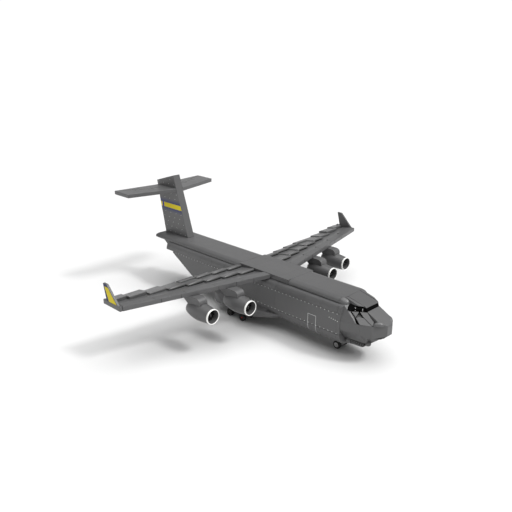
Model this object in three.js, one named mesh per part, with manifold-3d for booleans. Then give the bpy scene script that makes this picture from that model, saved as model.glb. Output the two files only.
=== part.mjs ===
// A brick-built toy transport plane: high wing, four engines under it, T-tail, cargo hold with a rear ramp.
// Millimetres, +Z up, nose towards -Y, starboard towards -X.
// The origin is on the ground under the middle of the hull.
import * as THREE from "three";
import { ConvexGeometry } from "three/addons/geometries/ConvexGeometry.js";
import { mergeVertices } from "three/addons/utils/BufferGeometryUtils.js";
import Module from "manifold-3d";

// ---- Driving dimensions ----
const STUD = 8; // pitch of the bricks
const PLATE = 3.2; // height of a thin brick
const FIT = 0.3; // gap between pieces that touch

const HULL_HALF = 5 * STUD;
const WALL = STUD;
const BELLY_Z = 23.2;
const FLOOR_TOP_Z = BELLY_Z + 2 * PLATE;
const CORNER_RADIUS = 20; // round of the hull's lower corners
const FLOOR_HALF = CORNER_RADIUS - FIT;
const LOWER_SEAM_Z = 43.4;
const UPPER_SEAM_Z = 78.4;
const SHOULDER_TOP_Z = 91.8;
const ROOF_UNDER_Z = 92.6;
const ROOF_TOP_Z = 100;
const ROOF_HALF = 4 * STUD;
const ROOF_EDGE = [10, 6.6]; // width and height of the rounded edge

const NOSE_JOINT_Y = -218;
const FLOOR_FRONT_Y = -168; // the nose gear's own plate fills the floor ahead of this
const ROOF_FRONT_Y = -212;
const ROOF_CORNER_Y = -207.5; // front end of the roof's rounded edges
const SHOULDER_REAR_Y = 210;
const DOME_LENGTH = 13.5;
const ROOF_REAR_Y = 259;
const ROOF_REAR_ROUND = 8;
const ROOF_REAR_SLANT = 7; // how much shorter the roof's rear end is on top than below
const TAIL_UNDER_Z = 74; // where the rising underside levels out
const UNDERSIDE_START_Y = 99; // where the belly turns up towards the tail
const UNDERSIDE_SLOPE = THREE.MathUtils.degToRad(30);

const CHINE_Z = 68.4;
const BAND_UNDER_Z = 51;
const CHIN_Z = 34.5; // underside of the chin's outer blocks
const WINDSCREEN_SILL_Z = 84.9;
const WINDSCREEN_TOP_Z = 90.3;
const NOSE_TIP_Y = -281;
const SILL_FRONT_Y = -249.4;
// The nose's widest edge, from the hull to the tip.
const CHINE = [
  [HULL_HALF, NOSE_JOINT_Y],
  [32.2, -248.4],
  [23.4, -264.4],
  [6.6, NOSE_TIP_Y],
];

const RAMP_LENGTH = 72;
const RAMP_THICKNESS = 2 * PLATE;
const RAMP_HINGE_RADIUS = PLATE / 2 + 1.6;

const CENTER_PLATE = [-104, 10]; // front and rear of the square-edged roof plate between the wings
const WING_ROOT_X = ROOF_HALF + FIT;
const WING_TIP_X = 36 * STUD;
const WING_TOP_Z = 99.2;
const WING_UNDER_Z = WING_TOP_Z - 7.2;
const WING_LEADING_Y = -64.8; // leading edge at the root
const WING_SWEEP = 0.239; // how far the leading edge runs aft for each millimetre outboard
const WING_TRAILING_Y = 14;
const WING_TRAILING_SWEEP = 0.121;
const BEAM_CHORD = 46; // before its rear edge is stepped round the blocks
const BEAM_FLAT = 8;
const BEAM_DROP = 6;
const BLOCK_WIDTH = 4 * STUD;
const BLOCK_SLOPE = 0.17;
const LIP_RADIUS = 1.6;
const FRONT_BLOCKS = 8;
const FRONT_ROW_Y = -26;
const FRONT_ROW_STEP = 7.4;
const FRONT_ROW_TOP_Z = WING_TOP_Z - 0.7;
const REAR_ROW_TOP_Z = WING_TOP_Z - 2;
const REAR_BLOCKS = 4;
const OUTER_BLOCK = 6; // the blocks from here outboard stand a little higher
const OUTER_RISE = 1.6;
const REAR_ROW_Y = 5.5;
const REAR_ROW_STEP = 4.2;
const SLOT_WIDTH = 2.2;
const SLOT_END = 5;
const RIB_THICKNESS = 4;
const WINGLET_TOP_Z = 125.8;

const ENGINES = [
  { place: "inner", x: 13.2 * STUD, frontY: -92, z: 68.6 },
  { place: "outer", x: 21.1 * STUD, frontY: -74, z: 68.2 },
];
const NACELLE_LENGTH = 55;
const NACELLE_RADIUS = 14.6;
const INTAKE_OUTER = 12.9;
const INTAKE_BORE = 10.4;
const INTAKE_DEPTH = 3;
const DUCT_DEPTH = 16;
const FAN_CLEARANCE = 0.7;
const FAN_BLADES = 12;
const FAN_PITCH = THREE.MathUtils.degToRad(35);
const HUB_RADIUS = 3.6;
const SHAFT_RADIUS = 1.5;
const EXHAUST_RADIUS = 9.5;

const WHEEL_RADIUS = 6.8;
const WHEEL_WIDTH = 6.4;
const AXLE_RADIUS = 1.6;
const AXLE_CLEARANCE = 0.5;
const MAIN_TRACK = [26, 46]; // inner and outer wheel of each twin pair
const MAIN_AXLES = { front: -12, rear: 19.5 };
const NOSE_WHEEL_X = 8;
const NOSE_AXLE_Y = -192;
const SPONSON_HALF = 51;
const SPONSON_UNDER_Z = 14;

const FIN_HALF = STUD;
const STABILIZER_TOP_Z = 194;
const STABILIZER_THICKNESS = 7;
const STABILIZER_TIP_X = 13 * STUD;

const ROUND_STEPS = 24; // sides of a turned piece

// ---- Materials ----
const colours = {
  grey: { color: 0x555759, roughness: 0.5, metalness: 0 },
  black: { color: 0x0b0b0c, roughness: 0.35, metalness: 0 },
  white: { color: 0xf2f2ee, roughness: 0.4, metalness: 0 },
  rubber: { color: 0x141414, roughness: 0.85, metalness: 0 },
};

const sideName = (side) => (side < 0 ? "starboard" : "port");
const sides = [-1, 1];

const wasm = await Module();
wasm.setup();

const plane = new THREE.Group();

function add(name, geometry, colour = "grey", position = [0, 0, 0]) {
  const mesh = new THREE.Mesh(geometry, new THREE.MeshStandardMaterial(colours[colour]));
  mesh.name = name;
  mesh.position.set(...position);
  plane.add(mesh);
  return mesh;
}

// ---- Solid helpers ----
function toSolid(geometry) {
  const bare = geometry.clone();
  bare.deleteAttribute("normal");
  bare.deleteAttribute("uv");
  const merged = mergeVertices(bare, 1e-4);
  return new wasm.Manifold(
    new wasm.Mesh({
      numProp: 3,
      vertProperties: merged.attributes.position.array,
      triVerts: new Uint32Array(merged.index.array),
    }),
  );
}

function toGeometry(solid) {
  const mesh = solid.getMesh();
  const geometry = new THREE.BufferGeometry();
  geometry.setAttribute("position", new THREE.BufferAttribute(mesh.vertProperties, 3));
  geometry.setIndex(new THREE.BufferAttribute(mesh.triVerts, 1));
  return geometry;
}

function joined(geometries) {
  return toGeometry(geometries.map(toSolid).reduce((sum, next) => sum.add(next)));
}

function cut(geometry, ...tools) {
  return toGeometry(tools.map(toSolid).reduce((left, tool) => left.subtract(tool), toSolid(geometry)));
}

// The convex solid round a list of corners.
const wedge = (corners) => new ConvexGeometry(corners.map((c) => new THREE.Vector3(...c)));

function box(x0, x1, y0, y1, z0, z1) {
  return new THREE.BoxGeometry(x1 - x0, y1 - y0, z1 - z0).translate(
    (x0 + x1) / 2,
    (y0 + y1) / 2,
    (z0 + z1) / 2,
  );
}

// A section in X and Z, drawn out along Y.
function alongY(shape, y0, y1, curveSegments = 6) {
  const geometry = new THREE.ExtrudeGeometry(shape, { depth: y1 - y0, bevelEnabled: false, curveSegments });
  return geometry.rotateX(Math.PI / 2).translate(0, y1, 0);
}

// A section in Y and Z, drawn out along X.
function alongX(shape, x0, x1, curveSegments = 6) {
  const geometry = new THREE.ExtrudeGeometry(shape, { depth: x1 - x0, bevelEnabled: false, curveSegments });
  return geometry.rotateX(Math.PI / 2).rotateZ(Math.PI / 2).translate(x0, 0, 0);
}

function polygon(points) {
  return new THREE.Shape(points.map((p) => new THREE.Vector2(...p)));
}

// A solid turned about the Y axis, from points of radius and y.
const turned = (points, steps = ROUND_STEPS) =>
  new THREE.LatheGeometry(points.map((p) => new THREE.Vector2(...p)), steps);

function cylinderX(radius, x0, x1, y, z, steps = ROUND_STEPS) {
  const geometry = new THREE.CylinderGeometry(radius, radius, x1 - x0, steps);
  return geometry.rotateZ(Math.PI / 2).translate((x0 + x1) / 2, y, z);
}

// The other side's copy of a solid that lies on the port side.
function mirrored(geometry) {
  const flipped = toGeometry(toSolid(geometry));
  flipped.scale(-1, 1, 1);
  const index = flipped.index.array;
  for (let i = 0; i < index.length; i += 3) {
    [index[i + 1], index[i + 2]] = [index[i + 2], index[i + 1]];
  }
  return flipped;
}

function addPair(name, geometry, colour = "grey") {
  for (const side of sides) {
    add(`${name}_${sideName(side)}`, side > 0 ? geometry.clone() : mirrored(geometry), colour);
  }
}

const undersideZ = (y) => BELLY_Z + (y - UNDERSIDE_START_Y) * Math.tan(UNDERSIDE_SLOPE);
const undersideY = (z) => UNDERSIDE_START_Y + (z - BELLY_Z) / Math.tan(UNDERSIDE_SLOPE);
const leadingY = (x) => WING_LEADING_Y + WING_SWEEP * (x - ROOF_HALF);
const trailingY = (x) => WING_TRAILING_Y + WING_TRAILING_SWEEP * (x - ROOF_HALF);

// ---- Hull ----
function addHull() {
  const front = NOSE_JOINT_Y + FIT;
  const rear = UNDERSIDE_START_Y - STUD;
  add("cargo_floor", box(-FLOOR_HALF, FLOOR_HALF, FLOOR_FRONT_Y, rear, BELLY_Z, FLOOR_TOP_Z));

  // Lower corner: a quarter round outside, one flat inside.
  const corner = new THREE.Shape();
  corner.moveTo(CORNER_RADIUS, BELLY_Z);
  corner.absarc(HULL_HALF - CORNER_RADIUS, BELLY_Z + CORNER_RADIUS, CORNER_RADIUS, -Math.PI / 2, 0, false);
  corner.lineTo(HULL_HALF - WALL, BELLY_Z + CORNER_RADIUS);
  corner.lineTo(CORNER_RADIUS, FLOOR_TOP_Z);
  const cornerRear = undersideY(LOWER_SEAM_Z);
  const margin = 5;
  const underTheRise = alongX(
    polygon([
      [undersideY(BELLY_Z - margin), BELLY_Z - margin],
      [undersideY(LOWER_SEAM_Z + margin), LOWER_SEAM_Z + margin],
      [undersideY(LOWER_SEAM_Z + margin), BELLY_Z - margin],
    ]),
    0,
    HULL_HALF + margin,
  );
  const rampRoom = box(0, HULL_HALF - WALL, rear, cornerRear + margin, 0, LOWER_SEAM_Z + margin);
  addPair("lower_corner", cut(alongY(corner, front, cornerRear, 8), underTheRise, rampRoom));

  // Straight side wall, cut off at the rear by the rising underside.
  const wall = polygon([
    [front, LOWER_SEAM_Z + FIT],
    [undersideY(LOWER_SEAM_Z + FIT), LOWER_SEAM_Z + FIT],
    [undersideY(UPPER_SEAM_Z - FIT) - 4, UPPER_SEAM_Z - FIT],
    [front, UPPER_SEAM_Z - FIT],
  ]);
  addPair("side_wall", alongX(wall, HULL_HALF - WALL, HULL_HALF));

  // Shoulder: rounded outside, one flat inside.
  const shoulder = new THREE.Shape();
  shoulder.moveTo(HULL_HALF, UPPER_SEAM_Z);
  shoulder.quadraticCurveTo(HULL_HALF, SHOULDER_TOP_Z, ROOF_HALF - STUD / 2, SHOULDER_TOP_Z);
  shoulder.lineTo(ROOF_HALF - STUD, SHOULDER_TOP_Z);
  shoulder.lineTo(HULL_HALF - WALL, UPPER_SEAM_Z);
  addPair("shoulder", alongY(shoulder, front, SHOULDER_REAR_Y, 6));

  // Front wall of the hold, with the nose built onto it.
  const inner = HULL_HALF - WALL - FIT;
  add(
    "front_bulkhead",
    wedge(
      [front, front + WALL].flatMap((y) => [
        [-CORNER_RADIUS, y, FLOOR_TOP_Z + FIT + 0.4],
        [CORNER_RADIUS, y, FLOOR_TOP_Z + FIT + 0.4],
        [-inner, y, LOWER_SEAM_Z + 1.5],
        [inner, y, LOWER_SEAM_Z + 1.5],
        [-inner, y, UPPER_SEAM_Z - FIT],
        [inner, y, UPPER_SEAM_Z - FIT],
        [-ROOF_HALF + STUD + FIT, y, ROOF_UNDER_Z - FIT - 1.2],
        [ROOF_HALF - STUD - FIT, y, ROOF_UNDER_Z - FIT - 1.2],
      ]),
    ),
  );
}

// ---- Roof ----
function roofSection() {
  const [w, h] = ROOF_EDGE;
  const shape = new THREE.Shape();
  shape.moveTo(-ROOF_HALF, ROOF_UNDER_Z);
  shape.lineTo(ROOF_HALF, ROOF_UNDER_Z);
  shape.absellipse(ROOF_HALF - w, ROOF_TOP_Z - h, w, h, 0, Math.PI / 2, false, 0);
  shape.absellipse(-ROOF_HALF + w, ROOF_TOP_Z - h, w, h, Math.PI / 2, Math.PI, false, 0);
  return shape;
}

function addRoof() {
  const [front, rear] = CENTER_PLATE;
  // Each rounded edge of the front plate ends early, to leave room for a corner dome.
  const flatHalf = ROOF_HALF - ROOF_EDGE[0];
  const domeRoom = [-1, 1].map((side) => {
    const [x0, x1] = [side * (flatHalf - FIT), side * (ROOF_HALF + FIT)].sort((a, b) => a - b);
    return box(x0, x1, ROOF_FRONT_Y - FIT, ROOF_CORNER_Y, ROOF_UNDER_Z - FIT, ROOF_TOP_Z + FIT);
  });
  add("roof_front", cut(alongY(roofSection(), ROOF_FRONT_Y, front - FIT, 5), ...domeRoom));
  add("wing_center", box(-ROOF_HALF, ROOF_HALF, front, rear, ROOF_UNDER_Z, ROOF_TOP_Z));
  // The rear plate is rounded at its two rear corners.
  const half = ROOF_HALF + FIT;
  const r = ROOF_REAR_ROUND;
  const plan = new THREE.Shape();
  plan.moveTo(-half, 0);
  plan.lineTo(half, 0);
  plan.lineTo(half, ROOF_REAR_Y - r);
  plan.quadraticCurveTo(half, ROOF_REAR_Y, half - r, ROOF_REAR_Y);
  plan.lineTo(r - half, ROOF_REAR_Y);
  plan.quadraticCurveTo(-half, ROOF_REAR_Y, -half, ROOF_REAR_Y - r);
  const depth = 2 * ROOF_TOP_Z;
  const outline = new THREE.ExtrudeGeometry(plan, { depth, bevelEnabled: false, curveSegments: 4 });
  const plate = alongY(roofSection(), rear + FIT, ROOF_REAR_Y, 5);
  const slant = alongX(
    polygon([
      [ROOF_REAR_Y, ROOF_UNDER_Z],
      [ROOF_REAR_Y - ROOF_REAR_SLANT, ROOF_TOP_Z],
      [ROOF_REAR_Y - ROOF_REAR_SLANT, ROOF_TOP_Z + FIT],
      [ROOF_REAR_Y + FIT, ROOF_TOP_Z + FIT],
      [ROOF_REAR_Y + FIT, ROOF_UNDER_Z],
    ]),
    -half,
    half,
  );
  add("roof_rear", cut(toGeometry(toSolid(plate).intersect(toSolid(outline))), slant));
}

// ---- Tail end of the hull, above the ramp ----
function addTailEnd() {
  const rampEndY = UNDERSIDE_START_Y + RAMP_LENGTH * Math.cos(UNDERSIDE_SLOPE);
  const y0 = rampEndY + 4;
  const slopeEndY = undersideY(TAIL_UNDER_Z);
  const inner = HULL_HALF - WALL - FIT;
  const lower = alongX(
    polygon([
      [y0, undersideZ(y0)],
      [slopeEndY, TAIL_UNDER_Z],
      [SHOULDER_REAR_Y, UPPER_SEAM_Z - FIT],
      [y0, UPPER_SEAM_Z - FIT],
    ]),
    -inner,
    inner,
  );
  const upper = alongX(
    polygon([
      [y0, UPPER_SEAM_Z - FIT - 0.5],
      [SHOULDER_REAR_Y + 12, UPPER_SEAM_Z - FIT - 0.5],
      [ROOF_REAR_Y - 14, ROOF_UNDER_Z - FIT],
      [y0, ROOF_UNDER_Z - FIT],
    ]),
    -ROOF_HALF + STUD + FIT,
    ROOF_HALF - STUD - FIT,
  );
  add("tail_underside", joined([lower, upper]));
}

// ---- Cargo ramp, hinged at its front lower edge ----
function addRamp() {
  const hingeZ = BELLY_Z + RAMP_HINGE_RADIUS;
  const half = HULL_HALF - WALL - 1;
  const t = RAMP_THICKNESS;
  const panel = new THREE.BoxGeometry(2 * half, RAMP_LENGTH - RAMP_HINGE_RADIUS, t);
  panel.translate(0, (RAMP_LENGTH + RAMP_HINGE_RADIUS) / 2 - 1, t / 2 - RAMP_HINGE_RADIUS);
  const barrel = cylinderX(RAMP_HINGE_RADIUS, -CORNER_RADIUS + 1, CORNER_RADIUS - 1, 0, 0, 16);
  const ramp = joined([panel, barrel]);
  const mesh = add("cargo_ramp", ramp, "grey", [0, UNDERSIDE_START_Y, hingeZ]);
  mesh.rotation.x = UNDERSIDE_SLOPE;
}

// ---- Nose ----
const bothSides = (points) => points.flatMap(([x, y, z]) => [[x, y, z], [-x, y, z]]);

function addNose() {
  const cornerAt = (z) => {
    const drop = BELLY_Z + CORNER_RADIUS - z;
    return HULL_HALF - CORNER_RADIUS + Math.sqrt(CORNER_RADIUS ** 2 - drop ** 2);
  };
  const band = wedge(
    bothSides([
      ...CHINE.map(([x, y]) => [x, y, CHINE_Z]),
      [...CHINE[0], BAND_UNDER_Z],
      [...CHINE[1], BAND_UNDER_Z],
      [24, -262.8, BAND_UNDER_Z - 1],
      [6.6, NOSE_TIP_Y, BAND_UNDER_Z + 1],
      [cornerAt(CHIN_Z), NOSE_JOINT_Y, CHIN_Z],
      [28, -226, CHIN_Z],
      [22, -255, CHIN_Z],
      [6.6, -262, CHIN_Z],
    ]),
  );
  const keel = wedge(
    bothSides([
      [19, NOSE_JOINT_Y, BELLY_Z],
      [19, NOSE_JOINT_Y, CHIN_Z + 1],
      [17, -253, CHIN_Z + 1],
      [14, -244, BELLY_Z],
      [6.6, -262.6, CHIN_Z + 1],
      [6.6, -250, BELLY_Z],
    ]),
  );
  add("nose_lower_shell", joined([band, keel]));

  // Faceted deck from the chine up to the windscreen sill.
  const deckUnder = CHINE_Z + FIT;
  const deck = wedge(
    bothSides([
      ...CHINE.slice(0, 3).map(([x, y]) => [x, y, deckUnder]),
      [STUD * 2, -271.6, deckUnder],
      [STUD * 2, SILL_FRONT_Y, WINDSCREEN_SILL_Z],
      [32, -225.6, WINDSCREEN_SILL_Z],
      [HULL_HALF, NOSE_JOINT_Y, UPPER_SEAM_Z],
      [34, NOSE_JOINT_Y, WINDSCREEN_SILL_Z],
    ]),
  );
  // Raised slope down the middle, two bricks each side of the centre line.
  const middle = 2 * STUD - FIT;
  const slopeFrontZ = CHINE_Z + FIT;
  const rise = (WINDSCREEN_SILL_Z - CHINE_Z) / (SILL_FRONT_Y - NOSE_TIP_Y);
  const noseSlope = wedge(
    bothSides([
      [middle, SILL_FRONT_Y - FIT, WINDSCREEN_SILL_Z + 0.8],
      [middle, -271, slopeFrontZ + (-271 - NOSE_TIP_Y) * rise + 0.8],
      [6.6, NOSE_TIP_Y, slopeFrontZ],
      [6.6, NOSE_TIP_Y, slopeFrontZ + 0.8],
      [middle, -272, slopeFrontZ],
      [middle, SILL_FRONT_Y - FIT, slopeFrontZ],
    ]),
  );
  const deckRoom = wedge(
    bothSides([
      [middle + FIT, SILL_FRONT_Y, WINDSCREEN_SILL_Z + 5],
      [middle + FIT, NOSE_TIP_Y - 5, WINDSCREEN_SILL_Z + 5],
      [middle + FIT, NOSE_TIP_Y - 5, slopeFrontZ - 5],
      [middle + FIT, SILL_FRONT_Y, slopeFrontZ - 5],
    ]),
  );
  add("nose_deck", cut(deck, deckRoom));
  add("nose_slope", noseSlope);

  // Windscreen: one dark band that wraps the front and both sides.
  const sill = WINDSCREEN_SILL_Z + FIT;
  add(
    "windscreen",
    wedge(
      bothSides([
        [2 * STUD, SILL_FRONT_Y + 0.6, sill],
        [31.4, -226, sill],
        [31.4, NOSE_JOINT_Y, sill],
        [2 * STUD, -247.2, WINDSCREEN_TOP_Z],
        [22, -224, SHOULDER_TOP_Z],
        [24, NOSE_JOINT_Y, SHOULDER_TOP_Z],
      ]),
    ),
    "black",
  );

  // Cockpit roof: a sloping panel, with a narrow strip and a rounded corner piece on each side.
  const roofFront = ROOF_FRONT_Y - FIT;
  const panelFront = -247.5;
  const lip = SHOULDER_TOP_Z + FIT;
  add(
    "cockpit_roof_panel",
    wedge(
      bothSides([
        [2 * STUD, roofFront, ROOF_TOP_Z],
        [2 * STUD, roofFront, ROOF_UNDER_Z],
        [2 * STUD, panelFront, WINDSCREEN_TOP_Z + FIT + 1.4],
        [2 * STUD, panelFront, WINDSCREEN_TOP_Z + FIT],
      ]),
    ),
  );
  const stripInner = 2 * STUD + 0.6;
  addPair(
    "cockpit_roof_strip",
    wedge([
      [stripInner, roofFront, ROOF_TOP_Z],
      [stripInner, roofFront, lip],
      [21.5, roofFront, ROOF_TOP_Z],
      [21.5, roofFront, lip],
      [stripInner, -244, lip + 1],
      [stripInner, -244, lip],
      [21.5, -236, lip + 2],
      [21.5, -236, lip],
    ]),
  );
  // Quarter dome at each front corner of the roof.
  const domeInner = ROOF_HALF - ROOF_EDGE[0];
  const domeRear = ROOF_CORNER_Y - FIT;
  const dome = new THREE.SphereGeometry(1, 16, 10);
  dome.scale(ROOF_EDGE[0], DOME_LENGTH, ROOF_TOP_Z - lip).translate(domeInner, domeRear, lip);
  const octant = box(domeInner, HULL_HALF, domeRear - HULL_HALF, domeRear, lip, ROOF_TOP_Z + STUD);
  addPair("cockpit_roof_corner", toGeometry(toSolid(dome).intersect(toSolid(octant))));
}

// ---- Wing ----
// A row of wedge blocks across the wing, each one set further aft than its inboard neighbour.
function wedgeRow(count, rowTopZ, frontY, rearY, lipped) {
  const blocks = [];
  for (let k = 0; k < count; k += 1) {
    const x0 = ROOF_HALF + BLOCK_WIDTH * k + (k ? -0.02 : FIT);
    const x1 = Math.min(ROOF_HALF + BLOCK_WIDTH * (k + 1), WING_TIP_X - RIB_THICKNESS - FIT);
    const y0 = frontY(k);
    const y1 = rearY(k);
    const topZ = rowTopZ(k);
    const tailZ = Math.max(WING_UNDER_Z + 1.6, topZ - (y1 - y0) * BLOCK_SLOPE);
    const shape = new THREE.Shape();
    shape.moveTo(y1, WING_UNDER_Z);
    shape.lineTo(y1, tailZ);
    shape.lineTo(y0 + LIP_RADIUS, topZ);
    if (lipped(k)) {
      const lipZ = topZ - LIP_RADIUS;
      shape.absarc(y0 + LIP_RADIUS, lipZ, LIP_RADIUS, Math.PI / 2, 1.5 * Math.PI, false);
      shape.lineTo(y0 + 2 * LIP_RADIUS, lipZ - LIP_RADIUS);
      shape.lineTo(y0 + 2 * LIP_RADIUS, WING_UNDER_Z);
    } else {
      shape.lineTo(y0, topZ - LIP_RADIUS / 2);
      shape.lineTo(y0, WING_UNDER_Z);
    }
    blocks.push(alongX(shape, x0, x1, 4));
  }
  return joined(blocks);
}

const frontRowY = (k) => FRONT_ROW_Y + FRONT_ROW_STEP * k;
const rearRowY = (k) => REAR_ROW_Y + REAR_ROW_STEP * k;
const blockMiddle = (k) => ROOF_HALF + BLOCK_WIDTH * (k + 0.5);

function addWing() {
  const tipX = WING_TIP_X - RIB_THICKNESS - FIT;
  const beam = wedge(
    [WING_ROOT_X, tipX].flatMap((x) => [
      [x, leadingY(x), WING_UNDER_Z],
      [x, leadingY(x), WING_TOP_Z],
      [x, leadingY(x) + BEAM_FLAT, WING_TOP_Z],
      [x, leadingY(x) + BEAM_CHORD, WING_UNDER_Z],
      [x, leadingY(x) + BEAM_CHORD, WING_TOP_Z - BEAM_DROP],
    ]),
  );
  // The beam's rear edge is stepped round the blocks, with a slot open from top to bottom at each one.
  const steps = [];
  for (let k = 0; k < FRONT_BLOCKS; k += 1) {
    const x0 = ROOF_HALF + BLOCK_WIDTH * k;
    const x1 = x0 + BLOCK_WIDTH + (k === FRONT_BLOCKS - 1 ? STUD : 0);
    steps.push(box(x0 - FIT, x1 + FIT, frontRowY(k) - FIT, 100, 80, 120));
    steps.push(box(x0 + SLOT_END, x1 - SLOT_END, frontRowY(k) - SLOT_WIDTH, 100, 80, 120));
  }
  addPair("wing_beam", cut(beam, ...steps));

  const frontRear = (k) => (k < REAR_BLOCKS ? rearRowY(k) - FIT : trailingY(blockMiddle(k)));
  const frontTop = (k) => FRONT_ROW_TOP_Z + (k < OUTER_BLOCK ? 0 : OUTER_RISE);
  const frontRow = wedgeRow(FRONT_BLOCKS, frontTop, frontRowY, frontRear, (k) => k < REAR_BLOCKS);
  addPair("wing_front_blocks", frontRow);
  const rearRear = (k) => trailingY(blockMiddle(k));
  const rearRow = wedgeRow(REAR_BLOCKS, () => REAR_ROW_TOP_Z, rearRowY, rearRear, (k) => k === 0);
  const notch = [];
  for (let k = 1; k <= REAR_BLOCKS; k += 1) {
    const x0 = ROOF_HALF + BLOCK_WIDTH * k;
    notch.push(box(x0 - FIT, x0 + BLOCK_WIDTH, 0, frontRear(k) + FIT, 80, 120));
  }
  addPair("wing_rear_blocks", cut(rearRow, ...notch));

  // Tip rib with the winglet standing on it.
  const tipY = leadingY(WING_TIP_X);
  const ribRear = trailingY(WING_TIP_X) - FIT - RIB_THICKNESS;
  const rib = box(WING_TIP_X - RIB_THICKNESS, WING_TIP_X, tipY, ribRear, WING_UNDER_Z, WING_TOP_Z);
  const blade = wedge(
    [WING_TIP_X - RIB_THICKNESS, WING_TIP_X - 0.4].flatMap((x) => [
      [x, tipY + 5.2, WING_TOP_Z - 1],
      [x, tipY + 35.5, WING_TOP_Z - 1],
      [x, tipY + 32.8, WINGLET_TOP_Z],
      [x, tipY + 42.5, WINGLET_TOP_Z],
    ]),
  );
  addPair("winglet", joined([rib, blade]));
}

// ---- Engines ----
const nacelleSkin = (grow) => [
  [INTAKE_OUTER + grow, INTAKE_DEPTH + FIT],
  [NACELLE_RADIUS - 1 + grow, 14],
  [NACELLE_RADIUS + grow, 27],
  [NACELLE_RADIUS - 0.8 + grow, 38],
  [NACELLE_RADIUS - 2.8 + grow, 48],
  [EXHAUST_RADIUS + grow, NACELLE_LENGTH],
];

function addEngine(engine, side) {
  const name = (part) => `${part}_${engine.place}_${sideName(side)}`;
  const place = [side * engine.x, engine.frontY, engine.z];
  const shaftHole = SHAFT_RADIUS + AXLE_CLEARANCE;
  const nacelle = turned([
    [0, DUCT_DEPTH + 4],
    [shaftHole, DUCT_DEPTH + 4],
    [shaftHole, DUCT_DEPTH],
    [INTAKE_BORE, DUCT_DEPTH],
    [INTAKE_BORE, INTAKE_DEPTH + FIT],
    ...nacelleSkin(0),
    [EXHAUST_RADIUS - 2, NACELLE_LENGTH],
    [EXHAUST_RADIUS - 2, NACELLE_LENGTH - 6],
    [0, NACELLE_LENGTH - 6],
  ]);
  add(name("nacelle"), nacelle, "grey", place);

  const ring = turned([
    [INTAKE_BORE, INTAKE_DEPTH],
    [INTAKE_BORE, 0.8],
    [INTAKE_BORE + 0.8, 0],
    [INTAKE_OUTER - 0.8, 0],
    [INTAKE_OUTER, 0.8],
    [INTAKE_OUTER, INTAKE_DEPTH],
    [INTAKE_BORE, INTAKE_DEPTH],
  ]);
  add(name("intake_ring"), ring, "white", place);

  const hub = turned(
    [
      [0, 4],
      [2, 5.2],
      [HUB_RADIUS, 7.6],
      [HUB_RADIUS, 13],
      [SHAFT_RADIUS, 13],
      [SHAFT_RADIUS, DUCT_DEPTH + 3.4],
      [0, DUCT_DEPTH + 3.4],
    ],
    16,
  );
  const reach = INTAKE_BORE - FAN_CLEARANCE;
  const blades = [];
  for (let i = 0; i < FAN_BLADES; i += 1) {
    const blade = new THREE.BoxGeometry(3.4, 0.7, reach - 2.4);
    blade.rotateZ(FAN_PITCH).translate(0, 10.3, (reach + 2.4) / 2);
    blades.push(blade.rotateY((i * 2 * Math.PI) / FAN_BLADES));
  }
  add(name("fan"), joined([hub, ...blades]), "black", place);

  // Pylon: a two-stud hump with a rounded front, from the nacelle up to the wing.
  const f = engine.frontY;
  const top = WING_UNDER_Z - FIT;
  const hump = new THREE.Shape();
  hump.moveTo(f + 22.5, engine.z + 8);
  hump.lineTo(f + 22.5, top - 7);
  hump.quadraticCurveTo(f + 23, top - 0.6, f + 31, top);
  hump.lineTo(f + 72, top);
  hump.lineTo(f + 50, engine.z + 8);
  const skin = turned([[0, INTAKE_DEPTH + FIT], ...nacelleSkin(FIT), [0, NACELLE_LENGTH]]);
  skin.translate(side * engine.x, f, engine.z);
  const humpX = side * engine.x;
  add(name("pylon"), cut(alongX(hump, humpX - STUD, humpX + STUD, 6), skin));
}

// ---- Tail surfaces ----
function addTail() {
  const base = ROOF_TOP_Z + FIT;
  add(
    "fin",
    wedge(
      bothSides([
        [FIN_HALF, 181.8, base],
        [FIN_HALF, 251.9, base],
        [FIN_HALF, 274.5, 202.4],
        [FIN_HALF, 222, 218.9],
      ]),
    ),
  );
  const zs = [STABILIZER_TOP_Z - STABILIZER_THICKNESS, STABILIZER_TOP_Z];
  const half = wedge(
    zs.flatMap((z) => [
      [FIN_HALF + FIT, 213, z],
      [FIN_HALF + FIT, 270.5, z],
      [STABILIZER_TIP_X, 236.2, z],
      [STABILIZER_TIP_X, 281, z],
    ]),
  );
  addPair("stabilizer", half);
}

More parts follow.
